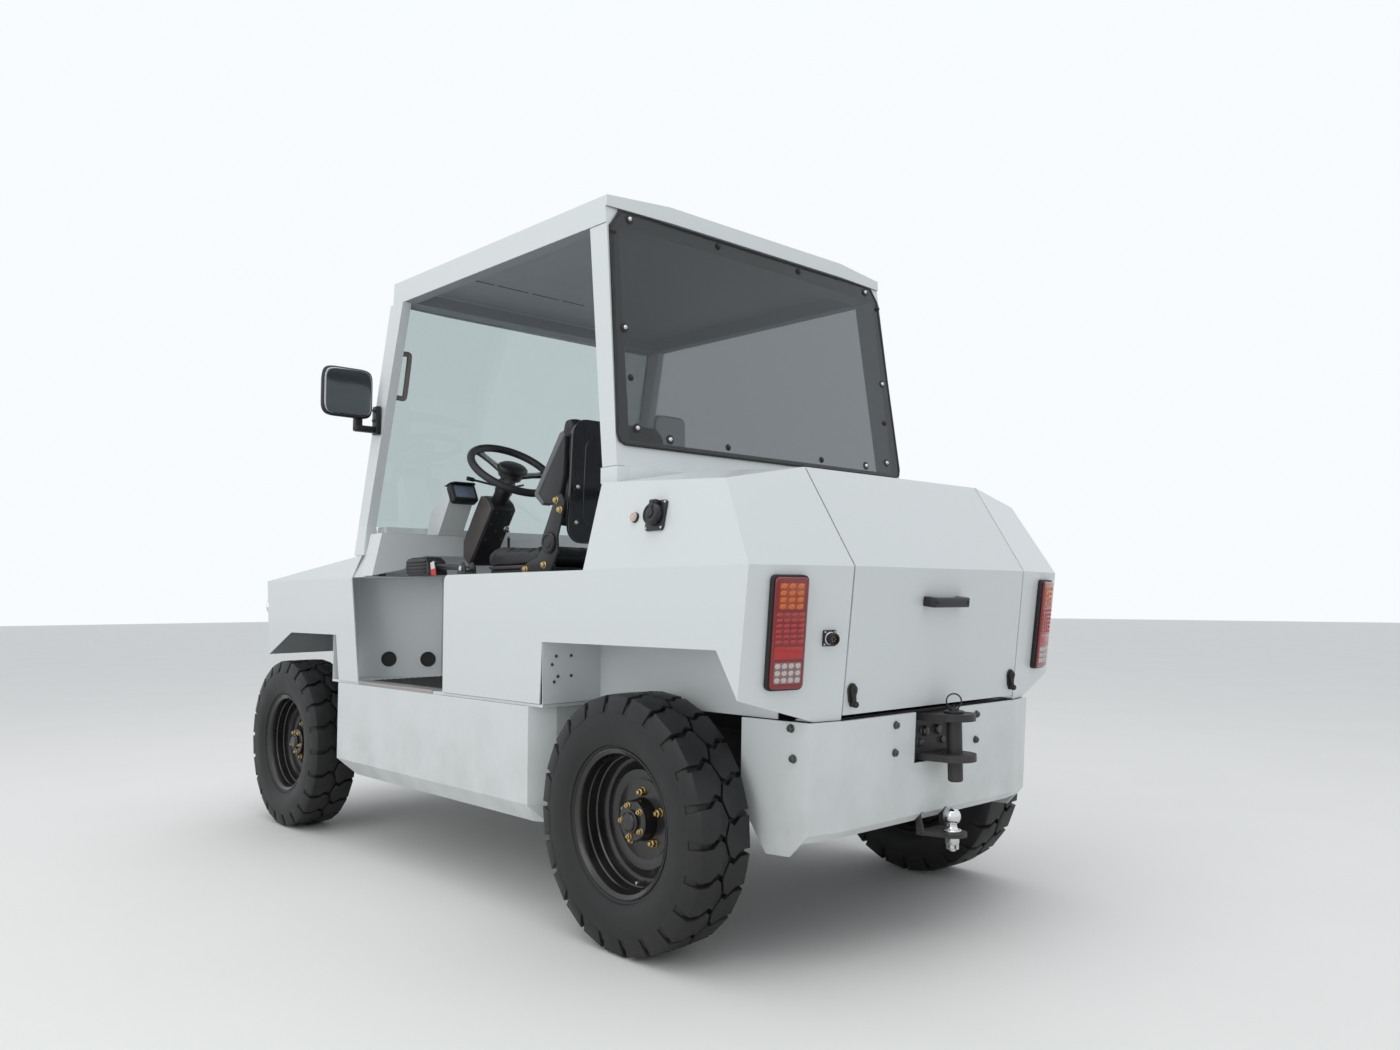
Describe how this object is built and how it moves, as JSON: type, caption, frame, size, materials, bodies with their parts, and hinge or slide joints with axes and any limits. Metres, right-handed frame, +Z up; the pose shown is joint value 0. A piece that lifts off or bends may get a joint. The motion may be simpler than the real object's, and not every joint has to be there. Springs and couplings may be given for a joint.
{
  "type": "airport baggage tug",
  "caption": "Short four-wheeled tow tractor with an open-sided cab, faceted body, opening tail lid, steered front wheels, towing jaw and tow ball.",
  "frame": {"origin": "on the ground, midway between the front towing jaw's tip and the rear jaw's tip, on the middle plane", "axes": "+X forward, +Y to the driver's left, +Z up"},
  "size_m": [3.461, 1.884, 2.2482],
  "materials": {
    "body_white": "gloss paint, cool white",
    "frame_black": "satin black chassis paint",
    "battery_grey": "grey steel case",
    "mat_black": "ribbed rubber mat",
    "plastic_black": "moulded black plastic",
    "plastic_grey": "dark grey moulded cover",
    "seat_black": "padded black vinyl",
    "glass_clear": "greenish safety glass",
    "glass_dark": "dark tinted acrylic",
    "lamp_red": "moulded lens",
    "lamp_clear": "clear lens",
    "ball_chrome": "plated ball",
    "rim_black": "semi-gloss black paint",
    "tyre_black": "new industrial tyre rubber"
  },
  "bodies": {
    "chassis": {"chassis_frame": "frame_black", "rear_axle": "frame_black", "front_axle": "frame_black", "battery_block": "battery_grey", "floor_plate": "body_white", "floor_mat": "mat_black", "firewall": "body_white", "seat_platform": "body_white", "rear_side_left": "body_white", "rear_side_right": "body_white", "front_fenders": "body_white", "hood": "body_white", "nose_panel": "body_white", "step_boxes": "body_white", "rear_bumper": "body_white", "front_bumper": "body_white", "cab_frame": "body_white", "roof": "body_white", "windshield": "glass_clear", "rear_window": "glass_dark", "cowl": "body_white", "steering_column": "plastic_grey", "seat_frame": "frame_black", "seat_cushion": "seat_black", "seat_back": "seat_black", "driver_controls": "plastic_black", "mirrors": "plastic_black", "tail_lamps": "lamp_red", "head_lamps": "lamp_clear", "side_sockets": "plastic_black", "hitch_bracket": "frame_black", "hitch_pin": "frame_black", "tow_ball": "ball_chrome"},
    "lid": {"tail_lid": "body_white", "lid_fittings": "plastic_black"},
    "helm": {"steering_wheel": "plastic_black"},
    "steer_left": {"knuckle_left": "frame_black"},
    "steer_right": {"knuckle_right": "frame_black"},
    "track_rod": {"tie_rod": "frame_black"},
    "wheel_front_left": {"rim_front_left": "rim_black", "tyre_front_left": "tyre_black"},
    "wheel_front_right": {"rim_front_right": "rim_black", "tyre_front_right": "tyre_black"},
    "wheel_rear_left": {"rim_rear_left": "rim_black", "tyre_rear_left": "tyre_black"},
    "wheel_rear_right": {"rim_rear_right": "rim_black", "tyre_rear_right": "tyre_black"}
  },
  "joints": [
    {"name": "lid_hinge", "type": "hinge", "parent": "chassis", "child": "lid", "pos_m": [-1.0355, 0, 1.35724], "axis": [0, 1, 0], "range_deg": [0, 60]},
    {"name": "helm_turn", "type": "hinge", "parent": "chassis", "child": "helm", "pos_m": [0.1955, 0.28, 1.492], "axis": [-0.6018, 0, 0.7986], "range_deg": [-420, 420]},
    {"name": "kingpin_left", "type": "hinge", "parent": "chassis", "child": "steer_left", "pos_m": [1.2455, 0.53, 0.3555], "axis": [0, 0, 1], "range_deg": [-35, 35]},
    {"name": "kingpin_right", "type": "hinge", "parent": "chassis", "child": "steer_right", "pos_m": [1.2455, -0.53, 0.3555], "axis": [0, 0, 1], "range_deg": [-35, 35]},
    {"name": "track_rod_pivot", "type": "hinge", "parent": "steer_left", "child": "track_rod", "pos_m": [1.0955, 0.53, 0.3005], "axis": [0, 0, 1], "range_deg": [-35, 35]},
    {"name": "spin_front_left", "type": "hinge", "parent": "steer_left", "child": "wheel_front_left", "pos_m": [1.2455, 0.668, 0.3555], "axis": [0, 1, 0], "continuous": true},
    {"name": "spin_front_right", "type": "hinge", "parent": "steer_right", "child": "wheel_front_right", "pos_m": [1.2455, -0.668, 0.3555], "axis": [0, 1, 0], "continuous": true},
    {"name": "spin_rear_left", "type": "hinge", "parent": "chassis", "child": "wheel_rear_left", "pos_m": [-1.0745, 0.668, 0.3555], "axis": [0, 1, 0], "continuous": true},
    {"name": "spin_rear_right", "type": "hinge", "parent": "chassis", "child": "wheel_rear_right", "pos_m": [-1.0745, -0.668, 0.3555], "axis": [0, 1, 0], "continuous": true}
  ],
  "couplings": [
    {"joint": "helm_turn", "follows": "kingpin_left", "ratio": 12},
    {"joint": "kingpin_right", "follows": "kingpin_left", "ratio": 1},
    {"joint": "track_rod_pivot", "follows": "kingpin_left", "ratio": -1}
  ]
}
